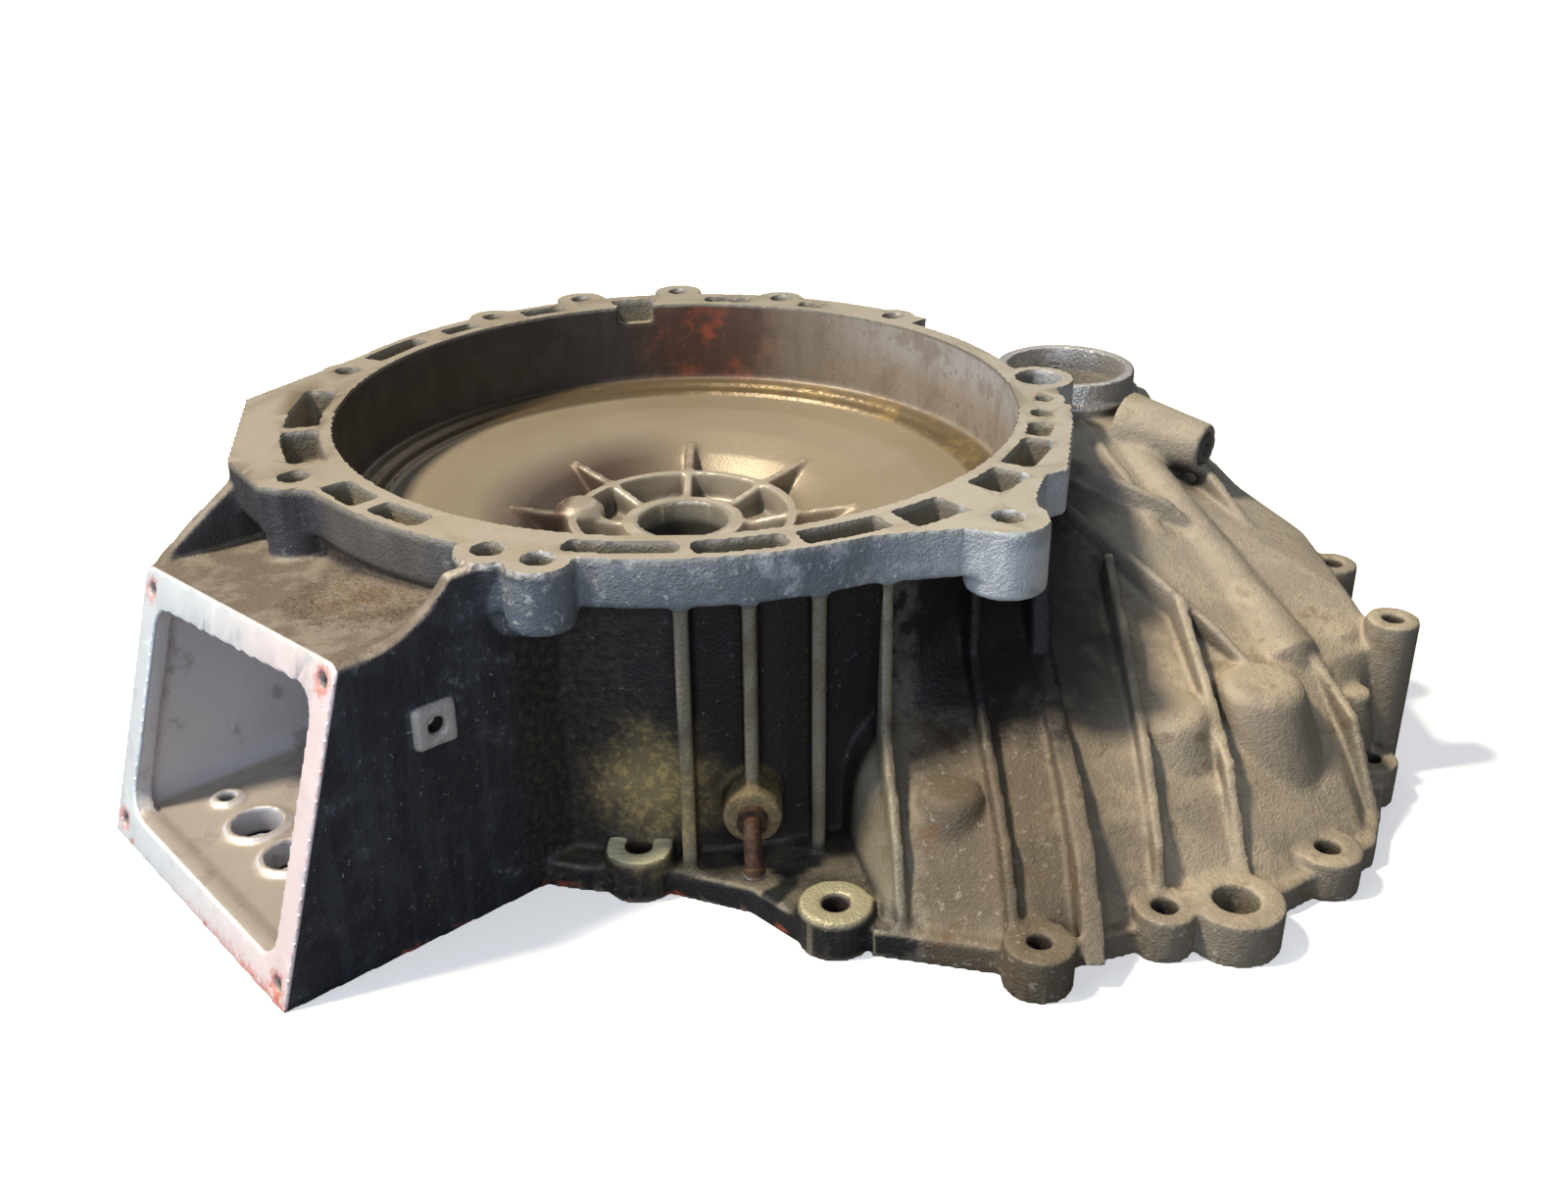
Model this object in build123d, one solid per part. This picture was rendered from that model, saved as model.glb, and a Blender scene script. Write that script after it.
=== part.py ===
from build123d import *
import os
from math import cos, hypot, radians, sin, sqrt, tan

# Crankshaft axis on Z, engine-side face at z = 0, gearbox-side face at z = -case_depth.
case_depth = 160.0
wall = 7.0
fit = 0.1
overlap = 2.0

# Bell, its stepped ledge and its floor.
bell_radius = 165.0
bell_depth = 45.0
ledge_width = 7.5
ledge_step = 3.0
crown_radius = 100.0
crown_rise = 2.5
trough_radius = 66.0
trough_depth = 76.0

# Hub of the input shaft and the ribs around it.
hub_bore = 22.8
hub_radius = 31.0
hub_depth = 65.0
hub_length = 32.0
ring_radius = 56.0
ring_depth = 61.0
ring_width = 5.0
hub_rib_count = 8
hub_rib_reach = 88.0
hub_rib_depth = 57.0
floor_boss_place = (-54.0, 8.0)
floor_boss_radius = 13.0
floor_boss_depth = 58.0

# Engine flange: rim, skirt, inner notch and lightening pockets.
flange_width = 23.0
flange_depth = 22.0
pocket_depth = 16.0
pocket_wall = 6.5
pocket_corner = 2.5
notch_place = 102.0
notch_width = 20.0
notch_depth = 10.0

# Engine bolts: distance outside the bell's wall, angle, hole radius, boss radius, boss depth.
engine_bolts = [
    (25.0, -148.4, 6.5, 15.0, 36.0),
    (23.0, -110.1, 6.5, 14.0, 22.0),
    (26.0, -103.3, 6.5, 14.0, 28.0),
    (41.0, -46.3, 6.5, 17.5, 31.0),
    (11.0, -8.4, 5.0, 11.0, 22.0),
    (13.5, -1.7, 4.0, 11.0, 22.0),
    (18.0, 8.5, 11.5, 17.5, 22.0),
    (14.5, 50.6, 5.5, 13.0, 22.0),
    (19.0, 74.3, 5.5, 14.0, 22.0),
    (29.0, 93.4, 5.5, 14.0, 22.0),
    (26.0, 110.9, 5.5, 14.0, 22.0),
    (18.0, 128.7, 5.5, 14.0, 22.0),
    (16.0, 165.1, 5.5, 13.0, 22.0),
]

# Corners of the flange that stand outside its round rim: distance outside the bell's wall, angle.
left_ear = [(23.0, 158.0), (48.6, 179.2), (47.6, -157.9), (41.4, -147.3), (25.2, -142.7), (23.0, -138.0)]
right_ear = [
    (20.0, -66.0),
    (38.0, -52.5),
    (52.0, -50.0),
    (54.0, -44.4),
    (37.2, -38.9),
    (30.0, -32.5),
    (36.0, -29.4),
    (26.6, -11.6),
    (26.0, -4.0),
]
back_ear = [(20.0, 45.0), (24.5, 49.5), (21.0, 58.0)]
narrow_rim = (14.0, 45.0)
narrow_width = 10.0

# Pockets in the engine face: first angle, last angle, distance of the outer wall outside the bell's wall.
pockets = [
    (175.5, 192.0, 22.0),
    (194.0, 207.0, 23.0),
    (217.5, 226.0, 20.0),
    (228.5, 237.5, 18.0),
    (258.5, 273.0, 17.0),
    (275.0, 287.0, 18.0),
    (289.0, 301.0, 19.0),
    (303.5, 312.0, 25.0),
    (319.0, 326.5, 24.0),
    (329.0, 340.0, 21.0),
    (341.5, 347.0, 17.0),
    (65.0, 69.5, 15.0),
    (79.5, 88.0, 16.0),
    (98.0, 106.0, 15.0),
    (115.5, 123.5, 17.0),
    (134.0, 140.5, 16.0),
    (146.0, 158.5, 18.0),
]

# Gearbox flange. Bolts round the bell: distance outside the bell's wall, angle, then as below.
gear_flange = 13.0
gear_flange_width = 14.0
bell_bolts = [
    (12.5, -93.9, 5.5, 15.0, 20.0),
    (24.5, 69.7, 5.0, 13.0, 27.0),
    (24.5, 102.2, 5.0, 13.0, 27.0),
    (24.5, 134.2, 5.0, 13.0, 27.0),
    (23.5, 169.0, 5.0, 13.0, 27.0),
]

# Bolts round the differential side: x, y, hole radius, boss radius, boss height.
side_bolts = [
    (71.0, -215.0, 5.5, 16.0, 18.0),
    (150.0, -243.0, 5.0, 14.5, 20.0),
    (204.0, -221.0, 5.5, 13.0, 20.0),
    (234.0, -217.0, 9.5, 20.0, 20.0),
    (283.0, -180.0, 5.5, 15.0, 19.0),
    (323.0, -113.0, 5.0, 13.0, 21.0),
    (334.0, -86.0, 5.0, 12.0, 80.0),
    (325.0, -25.0, 5.0, 12.0, 80.0),
    (322.0, 92.0, 5.0, 13.0, 27.0),
    (262.0, 176.0, 5.0, 13.0, 27.0),
    (168.0, 200.0, 5.0, 13.0, 27.0),
]
gear_apron = [
    (-24.0, -176.0),
    (36.0, -199.0),
    (58.0, -221.0),
    (90.0, -219.0),
    (84.0, -140.0),
    (-24.0, -140.0),
]

# Differential side: heights on it are counted in steps above the gearbox face.
steps_to_engine_face = 16
side_step = case_depth / steps_to_engine_face

# Level sections of its wall, each as a height in steps and its corners.
side_sections = [
    (1.3, [(75, -150), (90, -222), (150, -236), (205, -216), (258, -196), (304, -164),
           (330, -100), (334, -5), (312, 92), (258, 168), (170, 188), (90, 150)]),
    (4.2, [(75, -150), (97, -196), (148, -207), (200, -191), (246, -167), (296, -132),
           (331, -90), (330, -2), (306, 92), (254, 160), (170, 180), (90, 147)]),
    (6.6, [(75, -146), (100, -150), (150, -158), (194, -150), (232, -132), (284, -108),
           (331, -88), (326, 0), (298, 92), (250, 154), (172, 172), (90, 145)]),
    (8.4, [(75, -143), (102, -140), (146, -118), (184, -102), (218, -84), (260, -70),
           (318, -68), (318, 2), (286, 94), (244, 147), (176, 158), (90, 142)]),
    (10.5, [(75, -140), (100, -138), (140, -96), (172, -70), (198, -54), (226, -32),
            (254, 0), (274, 50), (268, 100), (236, 138), (180, 146), (90, 140)]),
    (13.0, [(75, -130), (98, -112), (126, -72), (146, -42), (166, -14), (192, 22),
            (224, 38), (250, 62), (252, 98), (228, 126), (190, 130), (90, 130)]),
]

# Bulges of its two bearing seats and of its lugs: x, y, height in steps, radius at the top, at the foot.
seat_bulges = [(217.0, -144.0, 6.9, 17.0, 48.0), (262.0, -128.0, 7.2, 18.0, 46.0)]
lug_bulges = [
    (310.0, -80.0, 7.4, 10.0, 20.0),
    (314.0, -106.0, 5.4, 7.0, 14.0),
    (120.0, -186.0, 5.4, 12.0, 34.0),
]
seat_wall = 3.0

# Output collar, where the drive shaft leaves the differential.
output_place = (204.5, 84.0)
output_bore = 31.0
output_radius = 37.0
output_drop = 12.0
output_length = 34.0
output_lip = 3.0
output_lip_drop = 11.0

# Ribs of the bell's wall: places of the front ones along X, angles of the back ones.
rib_width = 5.0
front_rib_width = 6.0
thick_rib_width = 9.0
rib_reach = 22.0
front_ribs = [10.0, 37.0, 65.0]
back_ribs = [120.0, 150.0, 180.0]

# Ribs of the differential side: free edge as x, y and height in steps, then root as x, y, then width.
rib_top = (case_depth - flange_depth + overlap) / side_step
rib_foot = (gear_flange - overlap) / side_step
slope_ribs = [
    ([(93, -164, rib_top), (95, -172, 7), (97, -207, 4.2), (98, -229, rib_foot)],
     (93, -140), rib_width),
    ([(133, -134, rib_top), (134, -136, 9), (136, -167, 7), (139, -216, 4.3), (142, -243, rib_foot)],
     (133, -100), rib_width),
    ([(164, -108, rib_top), (168, -122, 8.2), (175, -188, 6), (177, -222, 4.2), (172, -250, rib_foot)],
     (160, -60), thick_rib_width),
    ([(201, -76, 11), (196, -118, 9), (193, -164, 6.7), (199, -205, 3.8), (204, -218, rib_foot)],
     (203, -50), rib_width),
    ([(232, -92, 9.4), (231, -138, 7.2), (234, -170, 5.4), (243, -206, rib_foot)],
     (232, -60), rib_width),
    ([(180, -38, 12.4), (226, -82, 9.8), (248, -102, 8.4), (276, -129, 6), (302, -154, rib_foot)],
     (180, -20), rib_width),
    ([(268, -46, 9.2), (288, -92, 7.6), (306, -130, 5.2), (316, -150, rib_foot)],
     (250, -10), rib_width),
    ([(184, -6, 13.4), (240, -26, 11.4), (262, -34, 9.4)], (200, 0), rib_width),
    ([(205, 40, 13.4), (222, -4, 12), (238, -44, 9.8)], (205, 60), rib_width),
    ([(266, 16, 11.8), (286, -22, 9.4), (306, -54, 8)], (250, 30), rib_width),
    ([(270, 52, 11.4), (298, 16, 9.2), (322, -18, 7.6)], (240, 60), rib_width),
    ([(240, 128, 12.8), (264, 158, 8.4), (274, 171, rib_foot)], (220, 110), rib_width),
    ([(196, 134, 12.8), (194, 172, 8.4), (194, 196, rib_foot)], (198, 110), rib_width),
]

# Oil gallery under the skin of the differential side: its ends with heights in steps, its radius at each.
gallery_ends = [(226, 42, 12.4), (284, -98, 6.3)]
gallery_radii = (9.0, 15.0)
gallery_cap = 8.0

# Duct: a box-shaped inlet at the front left whose mouth leans back.
duct_angle = 221.7
duct_reach = 280.5
duct_offset = 12.7
duct_width = 170.0
duct_left_drop = 38.0
duct_right_drop = 22.0
duct_edge = 6.0
duct_skirt = (212.0, 252.0)
duct_lean = 17.0
duct_floor = 12.0
duct_corner = 12.0
duct_frame = 14.0
duct_frame_depth = 9.0
duct_screw = 3.2
duct_screw_edge = 8.5
duct_screw_depth = 8.0
gusset = 7.0
left_gusset_bow = 0.55
right_gusset_bow = 0.16
duct_ports = [(-25.0, -43.0, 11.0), (8.0, -43.0, 11.0), (-54.0, -42.0, 4.0)]
port_rim = 3.0
port_rim_height = 2.5
side_pad = 18.0
side_pad_place = (-78.0, 100.0)
side_pad_height = 4.0
side_pad_hole = 4.0

# Breather tube and the boss that it is pressed into.
breather_height = 40.0
breather_boss = 12.5
breather_boss_reach = 27.0
breather_radius = 3.8
breather_bore = 2.6
breather_grip = 14.0
breather_stand = 11.0
breather_drop = 17.0
breather_lean = 8.0
breather_bend = 7.0
breather_collar = 6.5
breather_collar_length = 4.0
breather_tip = 4.7
breather_tip_length = 5.0

# Level plug and its boss.
plug_place = (267.0, 17.0)
plug_level = 12.4
plug_axis = (0.80, -0.59, -0.06)
plug_boss = 13.0
plug_boss_root = 19.0
plug_boss_length = 46.0
plug_radius = 8.5
plug_depth = 12.0
plug_socket = 4.2
plug_socket_depth = 6.0

bell_outside = bell_radius + wall
flange_radius = bell_radius + flange_width
front_reach = bell_radius + rib_reach
gear_face = -case_depth
output_top = -output_drop
output_foot = output_top - output_length
duct_left = case_depth - duct_left_drop
duct_right = case_depth - duct_right_drop
standing = (Align.CENTER, Align.CENTER, Align.MIN)


def polar(radius, angle):
    """Point at a radius and an angle in degrees about the crankshaft axis."""
    return (radius * cos(radians(angle)), radius * sin(radians(angle)))


def column(x, y, radius, top, bottom):
    """Upright round column between two heights."""
    return Pos(x, y, bottom) * extrude(Circle(radius), top - bottom)


def spindle(start, end, radii, cap):
    """Round taper from one point to another, with a blunt cap at its end."""
    along = Vector(*end) - Vector(*start)
    plane = Plane(origin=start, z_dir=along)
    body = Cone(radii[0], radii[1], along.length, align=standing)
    return plane * (body + Pos(0, 0, along.length) * Cone(radii[1], radii[1] - cap, cap, align=standing))


def web(edge, root, width):
    """Upright rib whose free edge runs through the edge points and whose root is inside the wall."""
    first = Vector(edge[0][0], edge[0][1], 0)
    last = Vector(edge[-1][0], edge[-1][1], 0)
    along = (last - first).normalized()
    plane = Plane(origin=first, x_dir=along, z_dir=along.cross(Vector(0, 0, 1)))
    flat = [((Vector(x, y, 0) - first).dot(along), z) for x, y, z in (*edge, root)]
    return extrude(plane * Polygon(*flat, align=None), width / 2, both=True)


def bolt_place(offset, angle):
    """Centre of an engine bolt."""
    return polar(bell_radius + offset, angle)


def floor_edges():
    """Edges of the bell's floor from its wall to the axis: two ledges, a crown and the hub's trough."""
    foot = -bell_depth
    step = foot - ledge_step
    low = step - ledge_step
    inner = bell_radius - 2 * ledge_width
    crown = (inner + crown_radius) / 2
    edge = low - crown_rise
    mid_dip = (crown_radius + trough_radius) / 2
    trough = -trough_depth
    outline = Polyline(
        (bell_radius, foot),
        (bell_radius - ledge_width, foot),
        (bell_radius - ledge_width, step),
        (inner, step),
        (inner, low),
        (crown, low + crown_rise / 2),
        (crown_radius, edge),
        (mid_dip, (edge + trough + wall) / 2),
        (trough_radius, trough),
        (0, trough),
    )
    return outline.edges()


def turned(edges):
    """Solid turned about the crankshaft axis from edges in radius and height."""
    return revolve(Plane.XZ * make_face(edges), Axis.Z)


def bell_hollow():
    """Space inside the bell, open at the engine face."""
    top = overlap
    closing = Polyline((0, -trough_depth), (0, top), (bell_radius, top), (bell_radius, -bell_depth))
    return turned([*closing.edges(), *floor_edges()])


def bell_cup():
    """Bell with its wall and floor, filled up to the engine face. Its underside is plain."""
    foot = -bell_depth - 2 * ledge_step - wall
    outline = Polyline(
        (0, 0),
        (bell_outside, 0),
        (bell_outside, foot),
        (crown_radius, foot - crown_rise),
        (trough_radius, -trough_depth - wall),
        (0, -trough_depth - wall),
        close=True,
    )
    return turned(outline.edges())


def hub():
    """Hub of the input shaft with its ring and radial ribs, standing on the bell's floor."""
    floor = -trough_depth - wall
    body = column(0, 0, hub_radius, -hub_depth, -hub_depth - hub_length)
    ring = column(0, 0, ring_radius + ring_width / 2, -ring_depth, floor)
    ring -= column(0, 0, ring_radius - ring_width / 2, -ring_depth, floor)
    profile = Polygon(
        (hub_bore + overlap, floor),
        (hub_bore + overlap, -hub_depth - ledge_step),
        (ring_radius, -ring_depth),
        (hub_rib_reach, -hub_rib_depth),
        (hub_rib_reach + wall, -hub_rib_depth - wall),
        (trough_radius, floor),
        align=None,
    )
    rib = extrude(Plane.XZ * profile, ring_width / 2, both=True)
    ribs = [Rot(0, 0, 360 / hub_rib_count * i) * rib for i in range(hub_rib_count)]
    lump = column(*floor_boss_place, floor_boss_radius, -floor_boss_depth, floor)
    lump = chamfer(lump.edges().group_by(Axis.Z)[-1], floor_boss_radius / 3)
    return [body, ring, *ribs, lump]


def engine_flange():
    """Engine flange with its ears, skirt and bolt bosses."""
    start, end = narrow_rim
    outline = Circle(flange_radius) - sector(bell_radius, flange_radius + wall, start, end)
    outline += Circle(bell_radius + narrow_width)
    for ear in (left_ear, right_ear, back_ear):
        outline += Polygon((0, 0), *[bolt_place(*corner) for corner in ear], align=None)
    for offset, angle, hole, boss, depth in engine_bolts:
        outline += Pos(*bolt_place(offset, angle)) * Circle(boss)
    plate = extrude(outline, -flange_depth)
    skirt = extrude(sector(bell_radius + overlap, flange_radius - overlap, *duct_skirt), -duct_left_drop)
    bosses = []
    for offset, angle, hole, boss, depth in engine_bolts:
        if depth > flange_depth:
            stay = Pos(bell_radius + offset / 2, 0, -depth / 2) * Box(offset, 2 * rib_width, depth)
            bosses += [column(*bolt_place(offset, angle), boss, 0, -depth), Rot(0, 0, angle) * stay]
    return [plate, skirt, *bosses]


def sector(inner, outer, start, end):
    """Flat ring sector about the crankshaft axis, with rounded corners."""
    middle = (start + end) / 2
    outline = [
        ThreePointArc(polar(inner, start), polar(inner, middle), polar(inner, end)),
        Line(polar(inner, end), polar(outer, end)),
        ThreePointArc(polar(outer, end), polar(outer, middle), polar(outer, start)),
        Line(polar(outer, start), polar(inner, start)),
    ]
    face = make_face(outline)
    return fillet(face.vertices(), pocket_corner)


def engine_cuts():
    """Bolt holes, pockets and notch of the engine flange."""
    holes = [
        column(*bolt_place(offset, angle), hole, overlap, -depth - overlap)
        for offset, angle, hole, boss, depth in engine_bolts
    ]
    inner = bell_radius + pocket_wall
    hollows = [
        extrude(sector(inner, bell_radius + reach, start, end), -pocket_depth)
        for start, end, reach in pockets
    ]
    notch = Box(2 * notch_depth, notch_width, 2 * notch_depth)
    return [*holes, *hollows, Rot(0, 0, notch_place) * Pos(bell_radius, 0, 0) * notch]


def level(steps):
    """Height of a level of the differential side."""
    return gear_face + steps * side_step


def side_outlines(inset, drop):
    """Level outlines of the differential side, drawn in by inset and lowered by drop."""
    levels = []
    for height, corners in [(0.0, side_sections[0][1]), *side_sections]:
        centre_x = sum(x for x, y in corners) / len(corners)
        centre_y = sum(y for x, y in corners) / len(corners)
        drawn = []
        for x, y in corners:
            reach = hypot(x - centre_x, y - centre_y)
            share = (reach - inset) / reach
            drawn.append((centre_x + (x - centre_x) * share, centre_y + (y - centre_y) * share))
        levels.append(Pos(0, 0, level(height) - drop) * Polygon(*drawn, align=None))
    return levels


def side_body():
    """Outside of the differential side with the bulges of its bearing seats."""
    slope = loft(side_outlines(0, 0), ruled=True)
    bulges = []
    for x, y, height, top, foot in seat_bulges + lug_bulges:
        bulge = Pos(x, y, gear_face) * Cone(foot, top, height * side_step, align=standing)
        bulges.append(fillet(bulge.edges().group_by(Axis.Z)[-1], top / 2))
    return [slope, *bulges]


def bearing_seats():
    """Seats for two bearings, sunk into their bulges from the gearbox side."""
    return [
        column(x, y, top - seat_wall, level(height) - wall, gear_face - overlap)
        for x, y, height, top, foot in seat_bulges
    ]


def output_collar():
    """Turned collar of the drive shaft on the differential side."""
    lip_top = output_top - output_lip_drop
    collar = column(*output_place, output_radius, output_top, output_foot)
    lip = column(*output_place, output_radius + output_lip, lip_top, lip_top - output_length)
    return [collar, lip]


def gear_bolts():
    """Bolts of the gearbox flange: x, y, hole radius, boss radius, boss height."""
    return [(*bolt_place(offset, angle), *sizes) for offset, angle, *sizes in bell_bolts] + side_bolts


def gearbox_flange():
    """Gearbox flange that the casing stands on, with its bolt bosses."""
    outline = Circle(bell_outside + gear_flange_width)
    outline += Pos(0, 0, -gear_face) * side_outlines(-gear_flange_width / 2, 0)[0]
    outline += Polygon(*gear_apron, align=None)
    bosses = []
    for x, y, hole, boss, height in gear_bolts():
        outline += Pos(x, y) * Circle(boss)
        bosses.append(column(x, y, boss, gear_face + height, gear_face))
    return [Pos(0, 0, gear_face) * extrude(outline, gear_flange), *bosses]


def gearbox_cuts():
    """Bolt holes of the gearbox flange."""
    return [
        column(x, y, hole, gear_face + height + overlap, gear_face - overlap)
        for x, y, hole, boss, height in gear_bolts()
    ]


def wall_ribs():
    """Ribs of the bell's wall and of the differential side, and the gallery under its skin."""
    top = level(rib_top)
    low = level(rib_foot)
    ribs = []
    for number, x in enumerate(front_ribs):
        y = -sqrt(front_reach**2 - x**2)
        foot = gear_face + breather_height if number == 1 else low
        profile = Polygon((y, top), (y, foot), (y + rib_reach, foot), (y + rib_reach, top), align=None)
        ribs.append(Pos(x, 0, 0) * extrude(Plane.YZ * profile, front_rib_width / 2, both=True))
    for angle in back_ribs:
        outer = polar(front_reach - overlap, angle)
        inner = polar(bell_radius, angle)
        ribs.append(web([(*inner, top), (*outer, top), (*outer, low)], (*inner, low), rib_width))
    for edge, root, width in slope_ribs:
        ribs.append(web([(x, y, level(height)) for x, y, height in edge], (*root, low), width))
    ends = [(x, y, level(height)) for x, y, height in gallery_ends]
    return [*ribs, spindle(*ends, gallery_radii, gallery_cap)]


outward = Vector(cos(radians(duct_angle)), sin(radians(duct_angle)), 0)
across = outward.cross(Vector(0, 0, -1))
mouth_foot = outward * duct_reach + across * duct_offset + Vector(0, 0, gear_face)
duct_section = Plane(origin=mouth_foot, x_dir=across, z_dir=outward)
duct_side = Plane(origin=mouth_foot, x_dir=outward, z_dir=across * -1)
mouth_plane = duct_section * Plane.XY.rotated((-duct_lean, 0, 0))
pad_centre = mouth_foot + across * (duct_width / 2) + outward * side_pad_place[0]
pad_plane = Plane(origin=pad_centre + Vector(0, 0, side_pad_place[1]), x_dir=outward, z_dir=across)


def duct_outline(inset, floor, corner):
    """Cross-section of the duct, drawn in by inset, above a floor."""
    half = duct_width / 2 - inset
    top = [(half, duct_right - inset), (-half, duct_left - inset)]
    outline = Polygon((-half, floor), (half, floor), *top, align=None)
    return fillet(outline.vertices(), corner) if corner else outline


def beyond_mouth(back):
    """Space in front of the leaning mouth plane, moved back into the duct."""
    tall = 2 * case_depth
    lean = tan(radians(duct_lean))
    side = Polygon(
        (tall * lean / 2 - back, -tall / 2),
        (tall, -tall / 2),
        (tall, tall),
        (-tall * lean - back, tall),
        align=None,
    )
    return extrude(duct_side * side, duct_width, both=True)


def duct_body():
    """Outside of the duct with its two gussets up to the engine flange."""
    length = duct_reach - bell_radius + 4 * wall
    outline = duct_outline(0, 0, 0)
    outline = fillet(outline.vertices().sort_by(Axis.Y)[-2:], duct_edge)
    body = extrude(duct_section * outline, -length) - beyond_mouth(0)
    lean = tan(radians(duct_lean))
    left_wall = gusset - duct_width / 2
    right_wall = duct_width / 2
    plates = []
    for place, height, bow in (
        (left_wall, duct_left, left_gusset_bow),
        (right_wall, duct_right, right_gusset_bow),
    ):
        start = (-height * lean, height - overlap)
        end = (-duct_reach + bell_radius + flange_width, case_depth - overlap)
        middle = ((start[0] + end[0]) / 2, start[1] + (end[1] - start[1]) * bow)
        arc = ThreePointArc(start, middle, end)
        inner = -length + overlap
        rest = Polyline(end, (inner, end[1]), (inner, height - gusset), (start[0], height - gusset), start)
        plate = extrude(duct_side * make_face([arc, *rest.edges()]), gusset)
        plates.append(Pos(across * place) * plate)
    return [body, *plates, pad_plane * Box(side_pad, side_pad, 2 * side_pad_height)]


def duct_cuts():
    """Inside of the duct, its mouth, floor ports and screw holes."""
    length = duct_reach - bell_radius
    pocket = extrude(duct_section * duct_outline(wall, duct_floor, duct_corner), -length)
    pocket -= beyond_mouth(duct_frame_depth)
    pocket -= column(0, 0, bell_outside, 0, gear_face)
    mouth = extrude(duct_section * duct_outline(duct_frame, duct_frame, duct_corner), -length / 2)
    mouth &= beyond_mouth(duct_frame_depth + overlap)
    lean = cos(radians(duct_lean))
    edge = duct_width / 2 - duct_screw_edge
    places = [
        (-edge, duct_screw_edge),
        (edge, duct_screw_edge),
        (edge, duct_right / lean - duct_screw_edge),
        (-edge, duct_left / lean - duct_screw_edge),
    ]
    screws = [
        extrude(mouth_plane * Pos(x, y) * Circle(duct_screw), -duct_screw_depth, both=True)
        for x, y in places
    ]
    ports = []
    for x, depth, radius in duct_ports:
        place = mouth_foot + across * x + outward * depth
        ports.append(column(place.X, place.Y, radius, gear_face + duct_floor, gear_face - overlap))
    pad_hole = pad_plane * Cylinder(side_pad_hole, 4 * side_pad_height)
    return [pocket, mouth, *screws, *ports, pad_hole]


def duct_rims():
    """Raised rims round the ports in the duct's floor."""
    rims = []
    for x, depth, radius in duct_ports:
        place = mouth_foot + across * x + outward * depth
        top = gear_face + duct_floor + port_rim_height
        ring = column(place.X, place.Y, radius + port_rim, top, gear_face + duct_floor - overlap)
        rims.append(ring - column(place.X, place.Y, radius, top + overlap, gear_face))
    return rims


breather_x = front_ribs[1]
breather_wall = -sqrt(front_reach**2 - breather_x**2)
breather_face = breather_wall - overlap * 2
breather_z = gear_face + breather_height
breather_plane = Plane(origin=(breather_x, breather_face, breather_z), x_dir=(1, 0, 0), z_dir=(0, -1, 0))


def breather_seat():
    """Boss for the breather tube at the foot of a front rib."""
    return extrude(breather_plane * Circle(breather_boss), -breather_boss_reach)


def breather_hole():
    """Blind bore that the tube is pressed into."""
    return extrude(breather_plane * Circle(breather_radius + fit), -breather_grip)


def breather_tube():
    """Bent steel vent tube with a stop collar and a beaded tip."""
    start = (breather_x, breather_face + breather_grip, breather_z)
    corner = (breather_x, breather_face - breather_stand, breather_z)
    tip = (breather_x + overlap / 2, corner[1] - breather_lean, breather_z - breather_drop)
    path = FilletPolyline(start, corner, tip, radius=breather_bend)
    tube = sweep(Plane(origin=start, z_dir=(0, -1, 0)) * Circle(breather_radius), path)
    collar = extrude(breather_plane * Circle(breather_collar), breather_collar_length)
    down = (Vector(*tip) - Vector(*corner)).normalized()
    bead_plane = Plane(origin=Vector(*tip) - down * breather_tip_length, z_dir=down)
    bead = extrude(bead_plane * Circle(breather_tip), breather_tip_length)
    bead = chamfer(bead.edges().filter_by(GeomType.CIRCLE), (breather_tip - breather_bore) / 3)
    bore = sweep(Plane(origin=start, z_dir=(0, -1, 0)) * Circle(breather_bore), path)
    return tube + collar + bead - bore


plug_plane = Plane(origin=(*plug_place, level(plug_level)), z_dir=plug_axis)


def plug_seat():
    """Boss of the level plug."""
    boss = Cone(plug_boss_root, plug_boss, plug_boss_length, align=standing)
    return plug_plane * Pos(0, 0, -plug_boss_length) * boss


def plug_hole():
    """Bore that the level plug is screwed into."""
    return extrude(plug_plane * Circle(plug_radius + fit), -plug_depth)


def level_plug():
    """Screw plug with a hexagon socket, flush with its boss."""
    body = extrude(plug_plane * Circle(plug_radius), -plug_depth)
    socket = extrude(plug_plane * RegularPolygon(plug_socket, 6), -plug_socket_depth)
    return body - socket


def housing():
    """The whole casting: outside forms, then the spaces inside it, then its machined holes."""
    shell = column(0, 0, bell_outside, 0, gear_face)
    flanges = [*engine_flange(), *gearbox_flange()]
    swells = [*side_body(), *output_collar(), *duct_body(), breather_seat(), plug_seat()]
    casting = shell + [*flanges, *swells, *wall_ribs()]
    cavity = column(0, 0, bell_radius, -bell_depth, gear_face - overlap)
    cavity += [loft(side_outlines(wall, wall), ruled=True), *bearing_seats()]
    cavity -= bell_cup()
    cavity -= column(*output_place, output_radius + output_lip, 0, output_foot)
    casting -= [cavity, bell_hollow()]
    casting += hub()
    shaft_bore = column(0, 0, hub_bore, 0, -hub_depth - hub_length - overlap)
    drive_bore = column(*output_place, output_bore, 0, output_foot - overlap)
    casting -= [*engine_cuts(), *gearbox_cuts(), *duct_cuts()]
    casting -= [shaft_bore, drive_bore, breather_hole(), plug_hole()]
    return casting + duct_rims()


os.makedirs("parts", exist_ok=True)
for name, make in (("housing", housing), ("breather_tube", breather_tube), ("level_plug", level_plug)):
    export_step(make(), f"parts/{name}.step")
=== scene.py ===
import math

import bpy
import numpy as np
from mathutils import Matrix, Vector


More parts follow.
